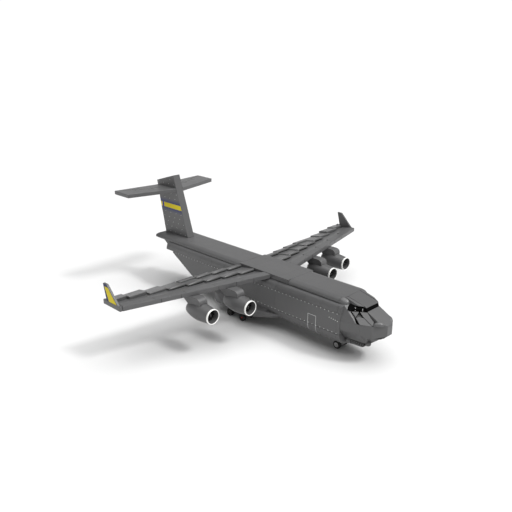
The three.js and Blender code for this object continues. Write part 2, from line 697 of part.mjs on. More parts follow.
// ---- Landing gear ----
function addSponsons() {
  const r = CORNER_RADIUS + FIT;
  const center = [HULL_HALF - CORNER_RADIUS, BELLY_Z + CORNER_RADIUS];
  const angleAt = (z) => Math.asin((z - center[1]) / r);
  function hugging(topZ, lowZ, outline) {
    const shape = new THREE.Shape();
    shape.absarc(...center, r, angleAt(topZ), angleAt(lowZ), true);
    outline.forEach((p) => shape.lineTo(...p));
    return shape;
  }
  const body = hugging(37.5, center[1] - r, [
    [center[0], SPONSON_UNDER_Z],
    [44, SPONSON_UNDER_Z],
    [50, 17.5],
    [SPONSON_HALF, 27],
    [47, 34.5],
  ]);
  const plan = new THREE.ExtrudeGeometry(
    polygon([
      [10, -66],
      [45.5, -66],
      [SPONSON_HALF + 0.5, -38],
      [SPONSON_HALF + 0.5, 40],
      [46, 62],
      [10, 62],
    ]),
    { depth: 60, bevelEnabled: false },
  );
  const profile = alongX(
    polygon([
      [-66, 24.5],
      [-37, 18.5],
      [-20, SPONSON_UNDER_Z - 1],
      [44, SPONSON_UNDER_Z - 1],
      [62, 20],
      [62, 60],
      [-66, 60],
    ]),
    0,
    60,
  );
  const main = toSolid(alongY(body, -70, 70, 6)).intersect(toSolid(plan)).intersect(toSolid(profile));
  const hull = new THREE.CylinderGeometry(r, r, 60, 48).translate(center[0], -80, center[1]);
  const front = cut(
    wedge([
      [45.5, -65.9, 34.5],
      [45.5, -65.9, 24.5],
      [30, -65.9, 34.5],
      [25, -65.9, 24.5],
      [36.9, -92, 34.5],
      [30, -86, 24.5],
      [28, -90, 34.5],
      [24, -86, 24.5],
    ]),
    hull,
  );
  addPair("sponson", toGeometry(main.add(toSolid(front))));
}

function wheelPair(inner, outer) {
  const w = WHEEL_WIDTH / 2;
  const r = WHEEL_RADIUS;
  const bevel = 0.9;
  const wheels = [inner, outer].map((x) =>
    turned([
      [0, -w],
      [r - bevel, -w],
      [r, -w + bevel],
      [r, w - bevel],
      [r - bevel, w],
      [0, w],
    ])
      .rotateZ(-Math.PI / 2)
      .rotateX(Math.PI / 2)
      .translate(x, 0, 0),
  );
  return joined([...wheels, cylinderX(AXLE_RADIUS, inner, outer, 0, 0, 12)]);
}

function addGear() {
  const hole = (x0, x1, y) => cylinderX(AXLE_RADIUS + AXLE_CLEARANCE, x0, x1, y, WHEEL_RADIUS, 12);
  const [inner, outer] = MAIN_TRACK;
  const inside = inner + WHEEL_WIDTH / 2 + 1;
  const outside = outer - WHEEL_WIDTH / 2 - 1;
  const axles = Object.values(MAIN_AXLES);
  const top = SPONSON_UNDER_Z - FIT;
  const lugs = axles.map((y) => box(inside, outside, y - 5, y + 5, 3, top));
  const plate = box(inside, outside, axles[0] - STUD, axles[1] + STUD, top - PLATE, top);
  const holes = axles.map((y) => hole(inside - 1, outside + 1, y));
  addPair("main_gear_mount", cut(joined([plate, ...lugs]), ...holes));

  for (const [place, y] of Object.entries(MAIN_AXLES)) {
    for (const side of sides) {
      const pair = wheelPair(Math.min(side * inner, side * outer), Math.max(side * inner, side * outer));
      add(`main_wheels_${place}_${sideName(side)}`, pair, "rubber", [0, y, WHEEL_RADIUS]);
    }
  }

  const half = NOSE_WHEEL_X - WHEEL_WIDTH / 2 - 1;
  const leg = box(-half, half, NOSE_AXLE_Y - 5.5, NOSE_AXLE_Y + 5.5, 3, BELLY_Z + 1);
  const plateFront = NOSE_JOINT_Y + FIT;
  const plateRear = FLOOR_FRONT_Y - FIT;
  const floorPlate = box(-FLOOR_HALF, FLOOR_HALF, plateFront, plateRear, BELLY_Z, FLOOR_TOP_Z);
  add("nose_gear_mount", cut(joined([floorPlate, leg]), hole(-half - 1, half + 1, NOSE_AXLE_Y)));
  add("nose_wheels", wheelPair(-NOSE_WHEEL_X, NOSE_WHEEL_X), "rubber", [0, NOSE_AXLE_Y, WHEEL_RADIUS]);
}

addHull();
addRoof();
addTailEnd();
addRamp();
addNose();
addWing();
for (const engine of ENGINES) {
  for (const side of sides) addEngine(engine, side);
}
addTail();
addSponsons();
addGear();

export default plane;
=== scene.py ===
"""Looks for a brick-built toy transport plane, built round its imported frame.

+Z up, nose towards -Y, starboard towards -X. Lengths are millimetres until new_piece() scales a mesh
to metres.
"""
import math

import bmesh
import bpy
from mathutils import Matrix, Vector


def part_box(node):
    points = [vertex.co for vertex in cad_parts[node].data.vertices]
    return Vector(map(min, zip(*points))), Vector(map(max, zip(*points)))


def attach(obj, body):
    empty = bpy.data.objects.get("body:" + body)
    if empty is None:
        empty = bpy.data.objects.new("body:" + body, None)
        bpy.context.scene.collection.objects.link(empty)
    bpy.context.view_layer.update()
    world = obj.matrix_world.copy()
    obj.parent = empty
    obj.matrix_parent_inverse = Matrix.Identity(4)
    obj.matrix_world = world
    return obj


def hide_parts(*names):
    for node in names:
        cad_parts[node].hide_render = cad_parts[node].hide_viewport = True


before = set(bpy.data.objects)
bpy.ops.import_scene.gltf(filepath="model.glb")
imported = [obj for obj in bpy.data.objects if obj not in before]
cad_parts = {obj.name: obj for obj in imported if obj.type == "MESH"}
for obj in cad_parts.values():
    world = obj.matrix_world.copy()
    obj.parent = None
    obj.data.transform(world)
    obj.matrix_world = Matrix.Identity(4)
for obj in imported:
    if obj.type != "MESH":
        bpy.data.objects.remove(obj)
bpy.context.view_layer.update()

MM = 0.001
STUD = 8.0
BRICK = 9.6
SEAM = 0.1  # half the gap between two bricks
FINE_SEAM = 0.03  # the same where the joint hardly shows
SIDES = {"starboard": -1, "port": 1}


def node_box(node):
    """Lowest and highest corner of a CAD node, in millimetres."""
    low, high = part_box(node)
    return low / MM, high / MM


HULL = node_box("side_wall_port")
FLOOR = node_box("cargo_floor")
SHOULDER = node_box("shoulder_port")
CORNER = node_box("lower_corner_port")
ROOF = node_box("roof_front")
HULL_HALF = HULL[1].x
WALL_INNER = HULL[0].x
JOINT_Y = HULL[0].y
BELLY_Z = FLOOR[0].z
LOWER_SEAM_Z = HULL[0].z
UPPER_SEAM_Z = HULL[1].z
SHOULDER_TOP_Z = SHOULDER[1].z
ROOF_HALF = ROOF[1].x
ROOF_UNDER_Z = ROOF[0].z
ROOF_TOP_Z = ROOF[1].z
CORNER_RADIUS = HULL_HALF - CORNER[0].x
WING = node_box("wing_beam_port")
LEADING_SWEEP = 0.239  # how far the wing's front edge runs aft for each millimetre outboard
SLOPE = math.radians(30)
SLOPE_START_Y = FLOOR[1].y + STUD
FIRST_SEAM_Y = -211.0  # the hull's brick joints start here, one every four studs
JOINT_PITCH = 4 * STUD
ROOF_CORNER_Y = node_box("cockpit_roof_corner_port")[1].y + 0.3
REAR_SLANT = 7.0  # the roof's rear end leans forward by this much
REAR_ROUND = 8.0
FIN_FRONT_Y = (181.8, 222)  # the fin's front edge at its foot and at its top
FIN_REAR_Y = (251.9, 274.5)
FIN_FRONT_TOP_Z = 218.9
FIN_REAR_TOP_Z = 202.4
BAND_Z = (151.6, 160.6)
SHADE_Z = (141, 171)
OUTER_RISE = 1.6  # the outer front blocks of the wing stand higher than the others by this much
LIP_INSET = 1.6  # how far a lip stops short of its block's side
LIP_RADIUS = 2.1
LIP_ROWS = {"front": (5, -26.0, 7.4), "rear": (3, 5.5, 4.2)}  # lips, the first one's Y and the step outboard


# ---- Materials ----
def plastic(name, colour, roughness, variation=0.03, grain=0.25, coat=0.0, specular=0.5):
    """Moulded plastic: brick-to-brick tone, faint flow marks in the gloss and a fine moulded grain."""
    material = bpy.data.materials.new(name)
    material.use_nodes = True
    nodes, links = material.node_tree.nodes, material.node_tree.links
    shader = nodes["Principled BSDF"]
    shader.inputs["Coat Weight"].default_value = coat
    shader.inputs["Coat Roughness"].default_value = 0.12
    shader.inputs["Specular IOR Level"].default_value = specular
    place = nodes.new("ShaderNodeTexCoord")

    def noise(scale, detail):
        node = nodes.new("ShaderNodeTexNoise")
        node.inputs["Scale"].default_value = scale
        node.inputs["Detail"].default_value = detail
        links.new(place.outputs["Object"], node.inputs["Vector"])
        return node

    def ranged(source, low, high):
        node = nodes.new("ShaderNodeMapRange")
        node.inputs["To Min"].default_value = low
        node.inputs["To Max"].default_value = high
        links.new(source, node.inputs["Value"])
        return node.outputs["Result"]

    island = nodes.new("ShaderNodeNewGeometry")
    tone = nodes.new("ShaderNodeMath")
    tone.operation = "MULTIPLY"
    links.new(ranged(island.outputs["Random Per Island"], 1 - variation, 1 + variation), tone.inputs[0])
    links.new(ranged(noise(22, 3).outputs["Fac"], 1 - variation, 1 + variation), tone.inputs[1])
    scaled = nodes.new("ShaderNodeVectorMath")
    scaled.operation = "SCALE"
    scaled.inputs[0].default_value = colour
    links.new(tone.outputs["Value"], scaled.inputs["Scale"])
    links.new(scaled.outputs["Vector"], shader.inputs["Base Color"])
    links.new(
        ranged(noise(60, 4).outputs["Fac"], roughness - 0.06, roughness + 0.06), shader.inputs["Roughness"]
    )
    bump = nodes.new("ShaderNodeBump")
    bump.inputs["Strength"].default_value = grain
    bump.inputs["Distance"].default_value = 0.00005
    links.new(noise(2600, 2).outputs["Fac"], bump.inputs["Height"])
    links.new(bump.outputs["Normal"], shader.inputs["Normal"])
    return material


GREY = plastic("dark_grey_plastic", (0.08, 0.08, 0.081), 0.36)
# Pale chips for painted glints of light at the brick corners.
GLINT_PALE = plastic("pale_painted_glint", (0.85, 0.85, 0.84), 0.4)
LINE_GREY = plastic("line_grey_plastic", (0.4, 0.4, 0.4), 0.4)
WHITE = plastic("white_plastic", (0.86, 0.86, 0.84), 0.35)
# Real black plastic for the fans and wheels, and also painted shade in the black pieces set in joints, slots,
# recesses and under the chin.
BLACK_AND_SHADE = plastic("black_plastic", (0.004, 0.004, 0.004), 0.25, specular=0.4)
GLAZING = plastic("black_glazing", (0.001, 0.001, 0.001), 0.2, specular=0.02)
RUBBER = plastic("tyre_rubber", (0.012, 0.012, 0.012), 0.75, grain=0.6, specular=0.3)
DUCT_GREY = plastic("duct_grey_plastic", (0.09, 0.09, 0.09), 0.2)
HUB_GREY = plastic("hub_grey_plastic", (0.3, 0.3, 0.3), 0.35)
RED = plastic("axle_red_plastic", (0.6, 0.02, 0.015), 0.35)
YELLOW = plastic("marking_yellow", (0.62, 0.5, 0.003), 0.4, specular=0.2)
BLUE = plastic("marking_blue", (0.018, 0.026, 0.085), 0.4, specular=0.2)
BRIGHT_BLUE = plastic("marking_bright_blue", (0.002, 0.014, 0.32), 0.4, specular=0.2)


def faded(name, middle, reach):
    """The grey plastic with blue printed over it, strongest at one height and fading above and below."""
    material = GREY.copy()
    material.name = name
    nodes, links = material.node_tree.nodes, material.node_tree.links
    shader = nodes["Principled BSDF"]
    grey = shader.inputs["Base Color"].links[0].from_socket
    place = nodes.new("ShaderNodeTexCoord")
    parts = nodes.new("ShaderNodeSeparateXYZ")
    links.new(place.outputs["Object"], parts.inputs["Vector"])
    offset = nodes.new("ShaderNodeMath")
    offset.operation = "SUBTRACT"
    links.new(parts.outputs["Z"], offset.inputs[0])
    offset.inputs[1].default_value = middle * MM
    distance = nodes.new("ShaderNodeMath")
    distance.operation = "ABSOLUTE"
    links.new(offset.outputs["Value"], distance.inputs[0])
    fade = nodes.new("ShaderNodeMapRange")
    fade.interpolation_type = "SMOOTHSTEP"
    fade.inputs["From Min"].default_value = reach[0] * MM
    fade.inputs["From Max"].default_value = reach[1] * MM
    links.new(distance.outputs["Value"], fade.inputs["Value"])
    mix = nodes.new("ShaderNodeMix")
    mix.data_type = "RGBA"
    links.new(fade.outputs["Result"], mix.inputs["Factor"])
    mix.inputs["A"].default_value = (0.004, 0.01, 0.09, 1)
    links.new(grey, mix.inputs["B"])
    links.new(mix.outputs["Result"], shader.inputs["Base Color"])
    return material


BAND_MIDDLE_Z = 156.2  # of the blue print on the fin
FADE = faded("faded_blue_print", BAND_MIDDLE_Z, (5, 15))


# ---- Mesh helpers: each adds one closed shell to a bmesh ----
PLACE = {
    "X": lambda a, b, along: (along, a, b),
    "Y": lambda a, b, along: (a, along, b),
    "Z": lambda a, b, along: (a, b, along),
}


def prism(bm, outline, axis, start, end):
    """An outline, in the other two axes' order, drawn out along one axis."""
    place = PLACE[axis]
    rings = [[bm.verts.new(place(a, b, along)) for a, b in outline] for along in (start, end)]
    bm.faces.new(rings[0])
    bm.faces.new(reversed(rings[1]))
    count = len(outline)
    for i in range(count):
        j = (i + 1) % count
        bm.faces.new((rings[0][i], rings[1][i], rings[1][j], rings[0][j]))
    return rings[0] + rings[1]


def block(bm, low, high):
    outline = [(low[0], low[1]), (high[0], low[1]), (high[0], high[1]), (low[0], high[1])]
    return prism(bm, outline, "Z", low[2], high[2])


def hull(bm, points):
    """The convex solid round some points."""
    verts = [bm.verts.new(p) for p in points]
    made = bmesh.ops.convex_hull(bm, input=verts)
    spare = [g for g in made["geom_interior"] + made["geom_unused"] if isinstance(g, bmesh.types.BMVert)]
    bmesh.ops.delete(bm, geom=list(set(spare)), context="VERTS")
    verts = [v for v in verts if v.is_valid]
    edges = list({e for v in verts for e in v.link_edges})
    bmesh.ops.dissolve_limit(bm, angle_limit=math.radians(0.5), verts=verts, edges=edges)
    return [v for v in verts if v.is_valid]


def lathe(bm, profile, centre, axis="Y", steps=48):
    """A closed profile of (radius, along) points turned round an axis. Radius 0 ends lie on the axis."""
    place = PLACE[axis]
    centre = Vector(centre)
    rings = []
    for radius, along in profile:
        if radius < 1e-6:
            rings.append([bm.verts.new(Vector(place(0, 0, along)) + centre)])
            continue
        turns = [i * math.tau / steps for i in range(steps)]
        spots = [place(radius * math.cos(t), radius * math.sin(t), along) for t in turns]
        rings.append([bm.verts.new(Vector(spot) + centre) for spot in spots])
    closed = len(rings[0]) > 1 and len(rings[-1]) > 1
    pairs = list(zip(rings, rings[1:])) + ([(rings[-1], rings[0])] if closed else [])
    for a, b in pairs:
        for i in range(steps):
            j = (i + 1) % steps
            corners = [a[i % len(a)], b[i % len(b)], b[j % len(b)], a[j % len(a)]]
            kept = [c for k, c in enumerate(corners) if c is not corners[k - 1]]
            if len(kept) > 2:
                bm.faces.new(kept)
    return [v for ring in rings for v in ring]


def ellipsoid(bm, centre, radii, turn=0.0, above=None, steps=32):
    """A smooth dome: an ellipsoid turned about Z, cut flat below the height `above`."""
    made = bmesh.ops.create_uvsphere(bm, u_segments=steps, v_segments=steps // 2, radius=1)["verts"]
    matrix = Matrix.Translation(centre) @ Matrix.Rotation(turn, 4, "Z") @ Matrix.Diagonal((*radii, 1))
    bmesh.ops.transform(bm, matrix=matrix, verts=made)
    if above is not None:
        made = sliced(bm, made, (0, 0, above), (0, 0, -1))
    return made


def sliced(bm, verts, point, normal):
    """Cuts a shell with a plane, takes away what is on the normal's side, and closes the cut."""
    faces = {f for v in verts for f in v.link_faces}
    edges = {e for f in faces for e in f.edges}
    cut = bmesh.ops.bisect_plane(
        bm, geom=[*verts, *edges, *faces], dist=1e-5, plane_co=point, plane_no=normal, clear_outer=True,
    )
    rim = [g for g in cut["geom_cut"] if isinstance(g, bmesh.types.BMEdge) and g.is_boundary]
    if rim:
        bmesh.ops.edgeloop_fill(bm, edges=rim)
    kept = {g for g in cut["geom"] + cut["geom_cut"] if isinstance(g, bmesh.types.BMVert) and g.is_valid}
    return list(kept)


def from_node(*names):
    """A bmesh of CAD nodes, in millimetres, with their flat faces whole."""
    bm = bmesh.new()
    for name in names:
        bm.from_mesh(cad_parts[name].data)
    bmesh.ops.scale(bm, vec=(1 / MM,) * 3, verts=bm.verts)
    bmesh.ops.remove_doubles(bm, verts=bm.verts, dist=1e-3)
    bmesh.ops.dissolve_limit(bm, angle_limit=math.radians(0.5), verts=bm.verts, edges=bm.edges)
    return bm


def new_piece(name, bm, material, body="airframe", replaces=(), bevel=0.3, bend=30):
    """Makes the object: smooth faces, small rounds along the edges, riding on its body."""
    bmesh.ops.scale(bm, vec=(MM,) * 3, verts=bm.verts)
    bmesh.ops.recalc_face_normals(bm, faces=bm.faces)
    mesh = bpy.data.meshes.new(name)
    bm.to_mesh(mesh)
    bm.free()
    mesh.materials.append(material)
    mesh.polygons.foreach_set("use_smooth", [True] * len(mesh.polygons))
    piece = bpy.data.objects.new(name, mesh)
    bpy.context.scene.collection.objects.link(piece)
    if bevel:
        rounds = piece.modifiers.new("rounds", "BEVEL")
        rounds.width = bevel * MM
        rounds.segments = 2
        rounds.limit_method = "ANGLE"
        rounds.angle_limit = math.radians(bend)
        rounds.use_clamp_overlap = True
    weighted = piece.modifiers.new("flats", "WEIGHTED_NORMAL")
    weighted.weight = 90
    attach(piece, body)
    if replaces:
        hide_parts(*replaces)
    return piece


def joints(start, end, first=FIRST_SEAM_Y, pitch=JOINT_PITCH, gap=SEAM):
    """Cuts start..end into bricks, with joints at first + a whole number of pitches."""
    step = math.ceil((start - first) / pitch + 1e-6)
    marks = [start]
    while first + step * pitch < end - 1:
        if first + step * pitch > start + 1:
            marks.append(first + step * pitch)
        step += 1
    marks.append(end)
    return [(a + gap, b - gap) for a, b in zip(marks, marks[1:])]


def along_hull(outline, start, end, pitch=JOINT_PITCH, bm=None, gap=SEAM):
    """A section in X and Z, drawn out as a row of bricks. Returns the bmesh and each brick's vertices."""
    bm = bm or bmesh.new()
    return bm, [prism(bm, outline, "Y", a, b) for a, b in joints(start, end, pitch=pitch, gap=gap)]


def sided(outline, side):
    """An outline given for the port side, on either side."""
    return [(side * a, b) for a, b in outline]


def mirrored(points):
    return [(x * side, y, z) for side in (-1, 1) for x, y, z in points]


# ---- Hull ----
def bent(p0, p1, p2, steps=12):
    """Points of a curve from p0 to p2 that leaves and arrives along the lines to p1."""
    points = []
    for i in range(steps + 1):
        t = i / steps
        weighed = ((1 - t) ** 2 * a + 2 * t * (1 - t) * b + t * t * c for a, b, c in zip(p0, p1, p2))
        points.append(tuple(weighed))
    return points


def arc(centre, radius, start, end, steps=12):
    angles = [math.radians(start + (end - start) * i / steps) for i in range(steps + 1)]
    return [(centre[0] + radius * math.cos(a), centre[1] + radius * math.sin(a)) for a in angles]


def hull_sides():
    slope_point = (0, SLOPE_START_Y, BELLY_Z)
    slope_out = (0, math.sin(SLOPE), -math.cos(SLOPE))
    for name, side in SIDES.items():
        shoulder_foot = SHOULDER[0].z
        curve = bent(
            (HULL_HALF, shoulder_foot), (HULL_HALF, SHOULDER_TOP_Z), (ROOF_HALF - STUD / 2, SHOULDER_TOP_Z)
        )
        shoulder = sided(curve + [(ROOF_HALF - STUD, SHOULDER_TOP_Z), (WALL_INNER, shoulder_foot)], side)
        bm, _ = along_hull(shoulder, JOINT_Y, SHOULDER[1].y)
        new_piece(
            f"shoulder_bricks_{name}", bm, GREY, replaces=[f"shoulder_{name}"], bevel=0.25
        )

        wall = sided(
            [
                (HULL_HALF, LOWER_SEAM_Z), (HULL_HALF, UPPER_SEAM_Z), (WALL_INNER, UPPER_SEAM_Z),
                (WALL_INNER, LOWER_SEAM_Z)
            ],
            side
        )
        bm, bricks = along_hull(wall, JOINT_Y, HULL[1].y, pitch=4 * JOINT_PITCH, gap=FINE_SEAM)
        for verts in bricks:
            sliced(bm, verts, slope_point, slope_out)
        new_piece(
            f"side_wall_bricks_{name}", bm, GREY, replaces=[f"side_wall_{name}"], bevel=0.25
        )

        centre = (HULL_HALF - CORNER_RADIUS, BELLY_Z + CORNER_RADIUS)
        outer = arc(centre, CORNER_RADIUS, -90, 0, 16)
        inner = [(WALL_INNER, BELLY_Z + CORNER_RADIUS), (CORNER[0].x, FLOOR[1].z)]
        bm, bricks = along_hull(sided(outer + inner, side), JOINT_Y, CORNER[1].y)
        for verts in bricks:
            left = sliced(bm, verts, slope_point, slope_out)
            if left and max(v.co.y for v in left) > FLOOR[1].y + 1:
                sliced(bm, left, (side * WALL_INNER, 0, 0), (-side, 0, 0))
        new_piece(
            f"lower_corner_bricks_{name}", bm, GREY, replaces=[f"lower_corner_{name}"],
            bevel=0.25
        )


def studs(bm, xs, ys, z, height=1.7, radius=2.4):
    for x in xs:
        for y in ys:
            lathe(
                bm, [(0, 0), (radius, 0), (radius, height - 0.2), (radius - 0.2, height), (0, height)],
                (x, y, z), "Z", 16
            )


def hold_floor():
    low, high = FLOOR
    bm = bmesh.new()
    middle = [
        (-CORNER_RADIUS + 0.3, low.z), (CORNER_RADIUS - 0.3, low.z), (CORNER_RADIUS - 0.3, high.z),
        (-CORNER_RADIUS + 0.3, high.z)
    ]
    along_hull(middle, low.y, high.y, bm=bm)
    rows = range(int((high.y - low.y) // STUD))
    studs(bm, [-12, -4, 4, 12], [high.y - 4 - STUD * i for i in rows], high.z - 0.2)
    new_piece("cargo_floor_plates", bm, GREY, replaces=["cargo_floor"], bevel=0.2)
    new_piece(
        "front_bulkhead_bricks", from_node("front_bulkhead"), GREY,
        replaces=["front_bulkhead"]
    )


# ---- Roof ----
def roof_plates():
    inner = 2 * STUD
    edge = (10, 6.6)
    curve = []
    for i in range(11):
        turn = math.radians(9 * i)
        x = ROOF_HALF - edge[0] * (1 - math.cos(turn))
        curve.append((x, ROOF_TOP_Z - edge[1] * (1 - math.sin(turn))))
    rounded = [
        (inner + FINE_SEAM, ROOF_UNDER_Z), (ROOF_HALF, ROOF_UNDER_Z), *curve,
        (inner + FINE_SEAM, ROOF_TOP_Z)
    ]
    square = [
        (inner + FINE_SEAM, ROOF_UNDER_Z), (ROOF_HALF, ROOF_UNDER_Z), (ROOF_HALF, ROOF_TOP_Z),
        (inner + FINE_SEAM, ROOF_TOP_Z)
    ]
    middle = [(-inner, ROOF_UNDER_Z), (inner, ROOF_UNDER_Z), (inner, ROOF_TOP_Z), (-inner, ROOF_TOP_Z)]
    flat_x = ROOF_HALF - edge[0]
    flat = [(inner, ROOF_UNDER_Z), (flat_x, ROOF_UNDER_Z), (flat_x, ROOF_TOP_Z), (inner, ROOF_TOP_Z)]
    for node, strip in (("roof_front", rounded), ("wing_center", square), ("roof_rear", rounded)):
        low, high = node_box(node)
        bm = bmesh.new()
        bricks = along_hull(middle, low.y, high.y, 2 * JOINT_PITCH, bm, FINE_SEAM)[1]
        edge_front = ROOF_CORNER_Y if node == "roof_front" else low.y
        for side in SIDES.values():
            bricks += along_hull(sided(strip, side), edge_front, high.y, 2 * JOINT_PITCH, bm, FINE_SEAM)[1]
            if edge_front > low.y:
                prism(bm, sided(flat, side), "Y", low.y, edge_front)
        if node == "roof_rear":
            back = [verts for verts in bricks if max(v.co.y for v in verts) > high.y - 1]
            for verts in back:
                verts = sliced(
                    bm, verts, (0, high.y, ROOF_UNDER_Z), (0, ROOF_TOP_Z - ROOF_UNDER_Z, REAR_SLANT)
                )
                for side in SIDES.values():
                    for turn in (25, 50, 70):
                        way = Vector((side * math.cos(math.radians(turn)), math.sin(math.radians(turn)), 0))
                        centre = Vector((side * (ROOF_HALF - REAR_ROUND), high.y - REAR_ROUND, 0))
                        point = centre + way * REAR_ROUND
                        verts = sliced(bm, verts, point, way)
        new_piece(f"{node}_plates", bm, GREY, replaces=[node], bevel=0.08)


# ---- Plain nodes that only need finer edges ----
def carried_over():
    plain = [
        "tail_underside", "stabilizer_port", "stabilizer_starboard",
        "main_gear_mount_port", "main_gear_mount_starboard", "nose_gear_mount",
        "cockpit_roof_panel", "cockpit_roof_strip_port", "cockpit_roof_strip_starboard",
        "nose_slope", "sponson_port", "sponson_starboard", "fin",
        "wing_beam_port", "wing_beam_starboard",
    ]
    for node in plain:
        new_piece(f"{node}_bricks", from_node(node), GREY, replaces=[node])


def tail_details():
    """Rounded caps where the shoulders end, and fine black lines on top of the stabilizer that paint the
    shade of its steps.
    """
    caps, lines = bmesh.new(), bmesh.new()
    for name, side in SIDES.items():
        rear = SHOULDER[1].y
        ellipsoid(caps, (side * 31, rear - 0.5, 84.6), (5.6, 7.4, 5.4), steps=24)
        sided_block(caps, side, (24, rear, 80), (29, rear + 5, 90))
        high = node_box(f"stabilizer_{name}")[1]
        for x0, x1, y0, y1 in ((24, 40, 245, 251.5), (40, 72, 247, 259.5), (60, 98, 262, 273)):
            hull(
                lines,
                [
                    (side * x, y + dy, z)
                    for x, y in ((x0, y0), (x1, y1))
                    for dy in (0, 0.9)
                    for z in (high.z - 0.3, high.z + 0.05)
                ]
            )
        for x, y in ((40, 248), (72, 262)):
            sided_block(lines, side, (x, y - 7, high.z - 0.3), (x + 0.8, y + 6, high.z + 0.05))
    new_piece("tail_caps", caps, GREY, bevel=0.2)
    # Painted shade: black lines where the stabilizer's steps throw shade.
    new_piece("stabilizer_step_shade", lines, BLACK_AND_SHADE, bevel=0)


def joint_shade_strips():
    """Thin black pieces that paint the shade in open joints: beside the cockpit roof panel and down the
    beam's front edge.
    """
    bm = bmesh.new()
    for side in SIDES.values():
        x0, x1 = 2 * STUD - 0.15, 2 * STUD + 0.65
        hull(
            bm,
            [
                (side * x, y, top + dz)
                for x in (x0, x1)
                for y, top in ((-212.6, 99.95), (-245.5, 92.5))
                for dz in (0.1, -1)
            ]
        )
    new_piece("cockpit_roof_joint_shade", bm, BLACK_AND_SHADE, bevel=0)
    bm = bmesh.new()
    for side in SIDES.values():
        for x in (64, 96, 128, 192, 224):
            y = leading_y(x)
            sided_block(bm, side, (x, y - 0.12, WING[0].z + 0.4), (x + 0.45, y + 0.6, WING[1].z - 0.3))
    new_piece("wing_beam_joint_shade", bm, BLACK_AND_SHADE, bevel=0)


